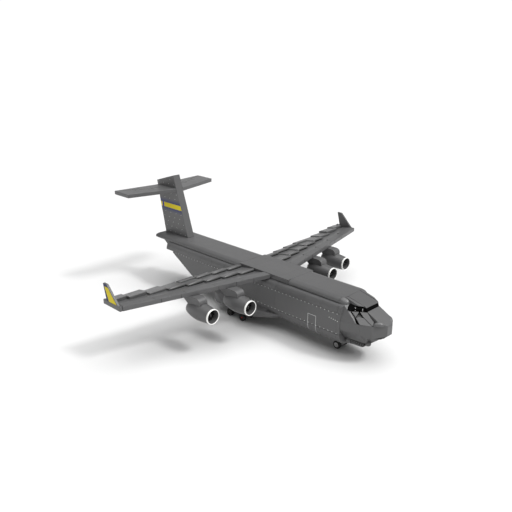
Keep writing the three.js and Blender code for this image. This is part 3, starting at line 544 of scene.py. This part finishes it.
# ---- Nose ----
def nose():
    chine_z, deck_z = 68.5, 68.6
    sill_z = node_box("nose_deck")[1].z
    tip_y = node_box("nose_lower_shell")[0].y
    joint = JOINT_Y - 0.4
    chine = [(HULL_HALF, joint), (32.2, -248.4), (23.4, -264.4), (6.6, tip_y)]
    cheek_z, band_z, tip_z = 53.0, 47.6, 51.8
    sill_front, sill_corner = Vector((16.2, -249.6, 84.9)), Vector((31.4, -226, 84.9))
    front = Vector((*chine[2], deck_z))
    normal = (sill_corner - sill_front).cross(front - sill_front).normalized()
    normal *= math.copysign(1, normal.z)

    def on_deck(x, y, lift=0.0):
        """The point of the sloping deck at this x and y."""
        z = sill_front.z - (normal.x * (x - sill_front.x) + normal.y * (y - sill_front.y)) / normal.z
        return Vector((x, y, z)) + normal * lift

    for name, side in SIDES.items():
        bm = bmesh.new()

        def add(bm, points):
            hull(bm, [(side * x, y, z) for x, y, z in points])

        # The band below the chine: three flat faces a side.
        inner = [(10, joint, chine_z), (10, -247, chine_z), (10, joint, cheek_z), (10, -247, cheek_z)]
        add(
            bm,
            [
                (*chine[0], chine_z), (*chine[1], chine_z), (39.4, joint, cheek_z), (34.5, -240.3, cheek_z),
                (32, -248.4, cheek_z), *inner
            ]
        )
        add(
            bm,
            [
                (*chine[1], chine_z), (*chine[2], chine_z), (32.2, -248.5, cheek_z), (27.6, -256.8, band_z),
                (23.4, -264.4, band_z), (8, -248.5, chine_z), (8, -264.4, chine_z), (8, -256, band_z),
                (8, -264.4, band_z)
            ]
        )
        add(
            bm,
            [
                (*chine[2], chine_z), (*chine[3], chine_z), (*chine[2], band_z), (*chine[3], tip_z),
                (6.6, -264.4, chine_z), (6.6, -264.4, band_z)
            ]
        )
        # Under the cheek: a face that looks down, and the chin's side.
        add(
            bm,
            [
                (39.4, joint, cheek_z), (34.5, -240.3, cheek_z), (24, -220, 35), (24, joint, 35),
                (10, joint, cheek_z), (10, -240.3, cheek_z), (10, joint, 35)
            ]
        )
        add(
            bm,
            [
                (34.5, -240.3, cheek_z), (32, -248.4, cheek_z), (24, -255.5, 49.5), (24, -255.5, 37.8),
                (24, -220, 35), (8, -220, 35), (8, -255.5, 37.8), (8, -255.5, 49.5), (8, -240, cheek_z)
            ]
        )
        new_piece(f"nose_cheek_{name}", bm, GREY, bevel=0.12)

        # Deck: a cheek wedge and three thin slopes with open joints between them, over a black core that
        # paints the shade in those joints.
        bm = bmesh.new()
        wedge = [
            (30.1, -215.8, SHOULDER_TOP_Z - 0.1), (22.4, -221.4, SHOULDER_TOP_Z),
            (30.8, -223.8, sill_front.z), (HULL_HALF, joint, deck_z), (34, -243.8, deck_z)
        ]
        add(bm, wedge + [(27, -226, deck_z), (22.4, -219, sill_front.z), (27, joint, deck_z)])
        slopes = [
            [(29.1, -230.4), (23.1, -239.4), (30.1, -239)],
            [(22.2, -240.6), (16.4, -249.7), (18.6, -264), (22.6, -264.4), (23.4, -248.8)],
            [(30.4, -240), (26.9, -242.9), (23.9, -249.4), (23.2, -264.4), (32.6, -248.9)],
        ]
        for outline in slopes:
            add(bm, [on_deck(x, y, lift) for x, y in outline for lift in (0, -1.2)])
        new_piece(f"nose_deck_{name}", bm, GREY, bevel=0.12)

        # Painted shade: the black core shows through the open joints between the slopes.
        bm = bmesh.new()
        core = [
            on_deck(x, y, -1.0)
            for x, y in ((29.5, -229.5), (16.2, -250.4), (18, -264), (23, -262.5), (31.5, -247.5))
        ]
        core += [
            Vector((x, y, deck_z))
            for x, y in ((31, -247), (23, -262.5), (16, -266), (16, -232), (30, -232))
        ]
        add(bm, core)
        new_piece(f"nose_groove_shade_{name}", bm, BLACK_AND_SHADE, bevel=0)

        bm = bmesh.new()
        ellipsoid(
            bm, (side * 14.4, -270.4, deck_z), (4.6, 9.6, 6.4), turn=-side * math.radians(45), above=deck_z
        )
        new_piece(f"nose_dome_{name}", bm, GREY, bevel=0)
    bm = bmesh.new()
    hull(bm, mirrored([(6.5, tip_y, chine_z), (6.5, tip_y, tip_z), (6.5, -245, chine_z), (6.5, -245, tip_z)]))
    hull(
        bm,
        mirrored([
            (6.6, tip_y + 2, tip_z - 0.2), (19, -262, band_z + 1), (19, -250, 36), (14, -244, BELLY_Z),
            (17, joint, BELLY_Z), (20, joint, 36), (19, joint, band_z)
        ])
    )
    new_piece("nose_keel", bm, GREY, replaces=["nose_lower_shell", "nose_deck"])
    bm = bmesh.new()
    hull(
        bm,
        mirrored([
            (x, y, z)
            for x, y in ((23.8, -256), (22.9, -263.8), (7, -276))
            for z in (band_z + 1, band_z - 0.3)
        ])
    )
    new_piece("chin_shade", bm, BLACK_AND_SHADE, bevel=0)

    # Windscreen with its pale posts.
    new_piece(
        "windscreen_band", from_node("windscreen"), GLAZING, replaces=["windscreen"],
        bevel=0.4
    )
    top_z = node_box("windscreen")[1].z
    bm = bmesh.new()
    for side in SIDES.values():
        for foot_share, head_share in ((0.38, 0.25), (0.75, 0.733)):
            foot = Vector((32, -225.8, sill_z)).lerp(Vector((16, -249.4, sill_z)), foot_share)
            head = Vector((22.6, -224, top_z)).lerp(Vector((16, -247.4, top_z - 1.5)), head_share)
            foot, head = foot.lerp(head, 0.2), foot.lerp(head, 0.8)
            for end in (foot, head):
                end.x, end.y = end.x + 0.6, end.y - 0.7
            hull(
                bm,
                [
                    (side * (p.x + dx), p.y + dy, p.z)
                    for p in (foot, head)
                    for dx, dy in ((0.3, -0.1), (-0.2, 0.4), (-0.4, -0.4), (0.1, -0.6))
                ]
            )
    new_piece("windscreen_posts", bm, LINE_GREY, bevel=0.05)

    for name, side in SIDES.items():
        low, high = node_box(f"cockpit_roof_corner_{name}")
        inner = low.x if side > 0 else high.x
        bm = bmesh.new()
        verts = ellipsoid(
            bm, (inner, high.y, low.z), (high.x - low.x, high.y - low.y, high.z - low.z), above=low.z,
            steps=48
        )
        verts = sliced(bm, verts, (0, high.y, 0), (0, 1, 0))
        sliced(bm, verts, (inner, 0, 0), (-side, 0, 0))
        new_piece(
            f"cockpit_corner_dome_{name}", bm, GREY,
            replaces=[f"cockpit_roof_corner_{name}"], bevel=0.2
        )


def sided_block(bm, side, low, high):
    """A block given for the port side, on either side."""
    xs = sorted((side * low[0], side * high[0]))
    block(bm, (xs[0], *low[1:]), (xs[1], *high[1:]))


def nose_grille():
    """Under the chin, on each side: a black block that paints the shade of a recess, with a row of small
    teeth, and two rounded pieces.
    """
    recess, teeth, rounds = bmesh.new(), bmesh.new(), bmesh.new()
    for side in SIDES.values():
        # Painted shade: a black block where the recess under the chin lies in shade.
        sided_block(recess, side, (12, -252, 30), (22.4, -222, 36.6))
        for i in range(7):
            y = -226 - 4 * i
            sided_block(teeth, side, (21.5, y - 0.7, 31.2), (22.9, y + 0.7, 33))
        ellipsoid(rounds, (side * 21, -221.5, 30.5), (4.6, 5, 5), steps=24)
        ellipsoid(rounds, (side * 16, -254.5, 34.5), (4.5, 5.5, 4.4), steps=24)
    new_piece("chin_recess_shade", recess, BLACK_AND_SHADE, bevel=0.1)
    new_piece("chin_teeth", teeth, GREY, bevel=0.15)
    new_piece("chin_rounds", rounds, GREY, bevel=0)


# ---- Wing ----
def leading_y(x):
    return WING[0].y + LEADING_SWEEP * (abs(x) - WING[0].x)


def wing_blocks():
    """The CAD's rows of blocks. Each inner block has a round lip, with a thin black piece under it that
    paints the shade in the slot below the lip.
    """
    for name, side in SIDES.items():
        lips, slots = bmesh.new(), bmesh.new()
        for row, (count, first_y, step) in LIP_ROWS.items():
            node = f"wing_{row}_blocks_{name}"
            new_piece(
                f"wing_{row}_wedges_{name}", from_node(node), GREY, replaces=[node],
                bevel=0.2
            )
            top = node_box(node)[1].z - (OUTER_RISE if row == "front" else 0)
            for k in range(count):
                y = first_y + step * k
                x0 = ROOF_HALF + 4 * STUD * k + LIP_INSET
                x1 = ROOF_HALF + 4 * STUD * (k + 1) - LIP_INSET
                section = arc((y + 0.7, top - 1.0), LIP_RADIUS, 0, 345, 14)
                prism(lips, section, "X", side * x0, side * x1)
                # Painted shade: a black block under each lip, where the slot lies in shade.
                sided_block(slots, side, (x0 + 1, y - 1.8, top - 5.6), (x1 - 1, y + 0.2, top - 3))
        new_piece(f"wing_lips_{name}", lips, GREY, bevel=0)
        new_piece(f"wing_slot_shade_{name}", slots, BLACK_AND_SHADE, bevel=0)


def wing_beam_plates():
    """Long thin plates on the beam, each ending in a small step."""
    top = WING[1].z
    for name, side in SIDES.items():
        bm = bmesh.new()
        for k in range(5):
            x0 = 33 + 50 * k
            x1 = min(x0 + 49.7, 283)
            corners = ((x0, 0.6), (x1, 0.6), (x0, 15.5), (x1, 11.5))  # X, and how far behind the leading edge
            hull(
                bm,
                [(side * x, leading_y(x) + chord, z) for x, chord in corners for z in (top - 3, top + 0.5)]
            )
        new_piece(f"wing_beam_plates_{name}", bm, GREY, bevel=0.2)


def winglets():
    for name, side in SIDES.items():
        node = f"winglet_{name}"
        low, high = node_box(node)
        new_piece(
            f"winglet_blade_{name}", from_node(node), GREY, replaces=[node], bevel=0.25
        )
        face = high.x if side > 0 else low.x
        foot_y, foot_z = low.y, WING[1].z
        blade = [
            (foot_y + 6.4, foot_z), (foot_y + 35.4, foot_z), (foot_y + 42.3, high.z - 0.2),
            (foot_y + 32.8, high.z - 0.2)
        ]
        field = [
            (foot_y + 8.4, foot_z + 0.4), (foot_y + 29, foot_z + 0.4), (foot_y + 39, high.z - 4.4),
            (foot_y + 29.6, high.z - 4.4)
        ]
        faces = {"border": (blade, BLUE, 0.05), "field": (field, YELLOW, 0.1)}
        for part, (outline, material, proud) in faces.items():
            bm = bmesh.new()
            skin = face - side * 0.4
            prism(bm, outline, "X", skin - side * 0.3, skin + side * proud)
            new_piece(f"winglet_{part}_{name}", bm, material, bevel=0)


# ---- Engines ----
def engine(place, name):
    low, high = node_box(f"nacelle_{place}_{name}")
    ring_low, ring_high = node_box(f"intake_ring_{place}_{name}")
    centre = Vector(((low.x + high.x) / 2, ring_low.y, (low.z + high.z) / 2))
    length = high.y - ring_low.y
    radius = (high.x - low.x) / 2
    lip, bore = (ring_high.x - ring_low.x) / 2 - 0.5, 10.4
    start = low.y - ring_low.y

    skin = []
    stations = [
        (lip, start), (radius - 1, 14), (radius, 27), (radius - 0.8, 38), (radius - 2.8, 48), (9.5, length)
    ]
    for i in range(len(stations) - 1):
        before, a, b, after = (
            Vector(stations[min(max(k, 0), len(stations) - 1)])
            for k in (i - 1, i, i + 1, i + 2)
        )
        for j in range(4):
            t = j / 4
            square = (2 * before - 5 * a + 4 * b - after) * t * t
            cube = (3 * a - before - 3 * b + after) * t**3
            skin.append(tuple(0.5 * (2 * a + (b - before) * t + square + cube)))
    inside = [
        (7.5, length), (7.5, length - 6), (2.1, length - 6.5), (2.1, 20), (2.1, 16), (bore, 16),
        (bore, start)
    ]
    bm = bmesh.new()
    lathe(bm, skin + [(9.5, length)] + inside, centre, "Y", 64)
    new_piece(
        f"nacelle_shell_{place}_{name}", bm, GREY, replaces=[f"nacelle_{place}_{name}"],
        bevel=0.2
    )

    bm = bmesh.new()
    thin = lip - 1.3
    round_lip = arc(((lip + thin) / 2, 0.75), (lip - thin) / 2, 180, 360, 12)
    lathe(bm, [(thin, start - 0.3), *round_lip, (lip, start - 0.3)], centre, "Y", 64)
    new_piece(
        f"intake_lip_{place}_{name}", bm, WHITE, replaces=[f"intake_ring_{place}_{name}"],
        bevel=0
    )

    bm = bmesh.new()
    liner = [
        (thin - 0.1, 0.9), (thin - 0.1, start - 0.4), (bore + 0.3, start - 0.4), (bore - 0.1, 15.9),
        (bore - 0.5, 15.9), (bore + 0.1, 1.6), (thin - 0.6, 0.9)
    ]
    lathe(bm, liner, centre, "Y", 64)
    new_piece(f"duct_liner_{place}_{name}", bm, DUCT_GREY, bevel=0)

    bm = bmesh.new()
    spinner = [(0, 3.4), *arc((0, 8), 3.6, -75, 0, 6), (3.6, 13), (1.5, 13), (1.5, 19.4), (0, 19.4)]
    lathe(bm, spinner, centre, "Y", 32)
    for i in range(12):
        turn = i * math.tau / 12
        rings = []
        for k in range(5):
            reach = 3 + 6.6 * k / 4
            pitch = math.radians(58 - 22 * k / 4)
            chord, thick = 3.2 + 0.9 * k / 4, 0.55
            ring = []
            for a, b in ((-chord, -thick), (chord, -thick), (chord, thick), (-chord, thick)):
                across = (a * math.cos(pitch) - b * math.sin(pitch)) / 2
                along = 10.3 + (a * math.sin(pitch) + b * math.cos(pitch)) / 2
                x = reach * math.cos(turn) - across * math.sin(turn)
                z = reach * math.sin(turn) + across * math.cos(turn)
                ring.append(bm.verts.new(centre + Vector((x, along, z))))
            rings.append(ring)
        bm.faces.new(rings[0])
        bm.faces.new(reversed(rings[-1]))
        for a, b in zip(rings, rings[1:]):
            for j in range(4):
                bm.faces.new((a[j], b[j], b[(j + 1) % 4], a[(j + 1) % 4]))
    fan = f"fan_{place}_{name}"
    new_piece(f"{fan}_blades", bm, BLACK_AND_SHADE, body=fan, replaces=[fan], bevel=0.1)

    pylon = f"pylon_{place}_{name}"
    new_piece(f"{pylon}_hump", from_node(pylon), GREY, replaces=[pylon], bevel=0.7, bend=25)


# ---- Wheels ----
def wheels(node):
    low, high = node_box(node)
    radius = (high.z - low.z) / 2
    centre_y, centre_z = (low.y + high.y) / 2, (low.z + high.z) / 2
    width = 6.4
    tyres, hubs, pins = bmesh.new(), bmesh.new(), bmesh.new()
    places = [low.x + width / 2, high.x - width / 2]
    for x in places:
        half = width / 2
        tread = [
            (r, a)
            for r, a in [
                (radius - 2.6, -half), (radius - 1.3, -half), (radius - 0.4, -half + 0.5),
                (radius, -half + 1.4), (radius, -0.5), (radius - 0.35, -0.3), (radius - 0.35, 0.3),
                (radius, 0.5), (radius, half - 1.4), (radius - 0.4, half - 0.5), (radius - 1.3, half),
                (radius - 2.6, half)
            ]
        ]
        lathe(tyres, tread, (x, centre_y, centre_z), "X", 40)
        hub = [
            (0, -half + 1.2), (1.6, -half + 1.2), (2, -half + 0.5), (3.6, -half + 0.5), (3.9, -half + 0.1),
            (radius - 2.5, -half + 0.1), (radius - 2.5, half - 0.1), (3.9, half - 0.1), (3.6, half - 0.5),
            (2, half - 0.5), (1.6, half - 1.2), (0, half - 1.2)
        ]
        lathe(hubs, hub, (x, centre_y, centre_z), "X", 32)
        for way in (-1, 1):
            end = x + way * (half - 0.6)
            for arms in ((1.2, 0.45), (0.45, 1.2)):
                block(
                    pins, (min(x, end), centre_y - arms[0], centre_z - arms[1]),
                    (max(x, end), centre_y + arms[0], centre_z + arms[1])
                )
    lathe(
        hubs, [(0, places[0]), (1.5, places[0]), (1.5, places[1]), (0, places[1])], (0, centre_y, centre_z),
        "X", 16
    )
    new_piece(f"{node}_tyres", tyres, RUBBER, body=node, replaces=[node], bevel=0)
    new_piece(
        f"{node}_hubs", hubs, BLACK_AND_SHADE if "main" in node else HUB_GREY, body=node, bevel=0.12
    )
    new_piece(
        f"{node}_axle_ends", pins, RED if "front" in node else HUB_GREY if "nose" in node else BLACK_AND_SHADE,
        body=node, bevel=0.1
    )


# ---- Cargo ramp ----
def ramp():
    bm = from_node("cargo_ramp")
    along = Vector((0, math.cos(SLOPE), math.sin(SLOPE)))
    out = Vector((0, -math.sin(SLOPE), math.cos(SLOPE)))
    hinge = Vector((0, SLOPE_START_Y, BELLY_Z + 3.2))
    turned = Matrix.Translation(hinge) @ Matrix((Vector((1, 0, 0)), along, out)).transposed().to_4x4()
    before = set(bm.verts)
    studs(bm, [-24, -16, -8, 0, 8, 16, 24], [12 + STUD * i for i in range(7)], 3.1)
    new = [v for v in bm.verts if v not in before]
    bmesh.ops.transform(bm, matrix=turned, verts=new)
    new_piece(
        "cargo_ramp_plates", bm, GREY, body="cargo_ramp", replaces=["cargo_ramp"], bevel=0.2
    )


# ---- Markings, and small pale chips at brick corners that paint glints of light ----
def dot(bm, at, normal, size=0.52):
    """A small square chip, flat on a surface: a painted glint."""
    normal = Vector(normal).normalized()
    across = normal.orthogonal() if abs(normal.z) > 0.9 else normal.cross(Vector((0, 0, 1)))
    across = across.normalized()
    up = across.cross(normal)
    at = Vector(at)
    hull(
        bm,
        [
            at + across * a * size + up * b * size + normal * c
            for a in (-1, 1)
            for b in (-1, 1)
            for c in (-0.2, 0.08)
        ]
    )


def seam_glints():
    # Pale chips along the hull's brick joints and cheek: painted glints of light at the brick corners.
    for name, side in SIDES.items():
        bm = bmesh.new()
        out = (side, 0, 0)
        upper_end = HULL[1].y - 6
        for i in range(int((upper_end - JOINT_Y) // STUD)):
            y = JOINT_Y + 6 + STUD * i
            dot(bm, (side * HULL_HALF, y, UPPER_SEAM_Z - 0.7), out)
            if y < SLOPE_START_Y + 32:
                dot(bm, (side * HULL_HALF, y, LOWER_SEAM_Z + 0.9), out)
        for i in range(5):
            dot(bm, (side * HULL_HALF, -197 - 4 * i, 67.5 - 0.5 * i), out)
        cheek = Vector((28, -7.4, 0)).normalized()
        for i in range(6):
            share = 0.36 + 0.115 * i
            y = JOINT_Y - 0.4 - 27.7 * share
            dot(bm, (side * (HULL_HALF - 7.4 * share), y, 61.5), (side * cheek.x, cheek.y, 0), 0.4)
        new_piece(f"seam_glints_{name}", bm, GLINT_PALE, bevel=0)


def door_outline():
    """A thin raised line round a crew door on the starboard side, down onto the rounded corner."""
    front, rear, top = -171.2, -154.2, 60.6
    width = 0.95
    bm = bmesh.new()
    face = -HULL_HALF
    block(bm, (face - 0.12, front, top - width), (face + 0.3, rear, top))
    centre = (-(HULL_HALF - CORNER_RADIUS), BELLY_Z + CORNER_RADIUS)
    for y in (front, rear - width):
        block(bm, (face - 0.12, y, centre[1]), (face + 0.3, y + width, top))
        outer = arc(centre, CORNER_RADIUS + 0.12, 180, 222, 8)
        inner = arc(centre, CORNER_RADIUS - 0.3, 222, 180, 8)
        prism(bm, outer + inner, "Y", y, y + width)
    new_piece("crew_door_outline", bm, LINE_GREY, bevel=0.05)


def fin_band():
    """Yellow band with blue edges across the fin."""
    low, high = node_box("fin")
    half = high.x

    def edge_ys(z):
        share = (z - low.z) / (FIN_FRONT_TOP_Z - low.z)
        rear_share = (z - low.z) / (FIN_REAR_TOP_Z - low.z)
        front = FIN_FRONT_Y[0] + (FIN_FRONT_Y[1] - FIN_FRONT_Y[0]) * share
        return front, FIN_REAR_Y[0] + (FIN_REAR_Y[1] - FIN_REAR_Y[0]) * rear_share

    def strip(z0, z1):
        (a0, b0), (a1, b1) = edge_ys(z0), edge_ys(z1)
        return [(a0, z0), (b0, z0), (b1, z1), (a1, z1)]

    mark = [(253.4, BAND_Z[0]), (258, BAND_Z[0]), (259.6, BAND_Z[1]), (255, BAND_Z[1])]
    parts = {
        "shade": (FADE, 0.05, strip(*SHADE_Z)),
        "yellow": (YELLOW, 0.12, strip(*BAND_Z)),
        "blue_mark": (BRIGHT_BLUE, 0.2, mark),
    }
    for part, (material, proud, outline) in parts.items():
        bm = bmesh.new()
        for side in SIDES.values():
            prism(bm, outline, "X", side * (half - 0.3), side * (half + proud))
        new_piece(f"fin_band_{part}", bm, material, bevel=0)
    # Pale chips at the fin's brick corners: painted glints of light.
    bm = bmesh.new()
    for side in SIDES.values():
        for row in range(12):
            z = low.z + 4 + BRICK * row
            front, rear = edge_ys(z)
            count = int((rear - front - 8) // 16)
            for i in range(count + 1):
                y = front + 5 + 16 * i + (8 if row % 2 else 0)
                if y < rear - 3 and not 150 < z < 162:
                    dot(bm, (side * half, y, z), (side, 0, 0), 0.42)
    new_piece("fin_glints", bm, GLINT_PALE, bevel=0)


# ---- Stage ----
def stage():
    floor_material = bpy.data.materials.new("pale_floor")
    floor_material.use_nodes = True
    floor_material.node_tree.nodes["Principled BSDF"].inputs["Base Color"].default_value = (
        0.62, 0.62, 0.62, 1
    )
    floor_material.node_tree.nodes["Principled BSDF"].inputs["Roughness"].default_value = 0.9
    mesh = bpy.data.meshes.new("floor")
    reach = 60.0
    mesh.from_pydata(
        [(-reach, -reach, 0), (reach, -reach, 0), (reach, reach, 0), (-reach, reach, 0)], [], [(0, 1, 2, 3)]
    )
    mesh.materials.append(floor_material)
    floor = bpy.data.objects.new("floor", mesh)
    bpy.context.scene.collection.objects.link(floor)

    # A plain world, pale low down and darker overhead.
    world = bpy.data.worlds.new("studio")
    bpy.context.scene.world = world
    world.use_nodes = True
    nodes, links = world.node_tree.nodes, world.node_tree.links
    place = nodes.new("ShaderNodeTexCoord")
    parts = nodes.new("ShaderNodeSeparateXYZ")
    fade = nodes.new("ShaderNodeMapRange")
    fade.inputs["From Min"].default_value = 0.1
    fade.inputs["From Max"].default_value = 0.3
    fade.inputs["To Min"].default_value = 1.05
    fade.inputs["To Max"].default_value = 0.25
    links.new(place.outputs["Generated"], parts.inputs["Vector"])
    links.new(parts.outputs["Z"], fade.inputs["Value"])
    links.new(fade.outputs["Result"], nodes["Background"].inputs["Strength"])
    nodes["Background"].inputs["Color"].default_value = (1, 1, 1, 1)
    bpy.context.scene.view_settings.view_transform = "Standard"

    for title, energy, spread, way in (
        ("overhead", 3.4, 80, (-0.05, 0.25, -1)), ("front", 1.6, 12, (-0.3, 0.75, -1))
    ):
        light = bpy.data.lights.new(title, "SUN")
        light.energy = energy
        light.angle = math.radians(spread)
        lamp = bpy.data.objects.new(title, light)
        lamp.rotation_euler = Vector(way).to_track_quat("-Z", "Y").to_euler()
        bpy.context.scene.collection.objects.link(lamp)

    camera = bpy.data.cameras.new("camera")
    camera.lens = 42.92
    camera.sensor_width = 36
    camera.clip_start = 0.01
    camera_object = bpy.data.objects.new("camera", camera)
    camera_object.location = (-0.730, -0.7154, 0.4701)
    azimuth, elevation, roll = math.radians(-45.52), math.radians(90 - 19.55), math.radians(0.48)
    turn = Matrix.Rotation(azimuth, 3, "Z") @ Matrix.Rotation(
        elevation, 3, "X"
    ) @ Matrix.Rotation(roll, 3, "Z")
    camera_object.rotation_euler = turn.to_euler()
    bpy.context.scene.collection.objects.link(camera_object)
    bpy.context.scene.camera = camera_object


hull_sides()
hold_floor()
roof_plates()
carried_over()
tail_details()
joint_shade_strips()
nose()
nose_grille()
wing_blocks()
wing_beam_plates()
winglets()
for place in ("inner", "outer"):
    for name in SIDES:
        engine(place, name)
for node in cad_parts:
    if "_wheels" in node:
        wheels(node)
ramp()
seam_glints()
door_outline()
fin_band()
stage()
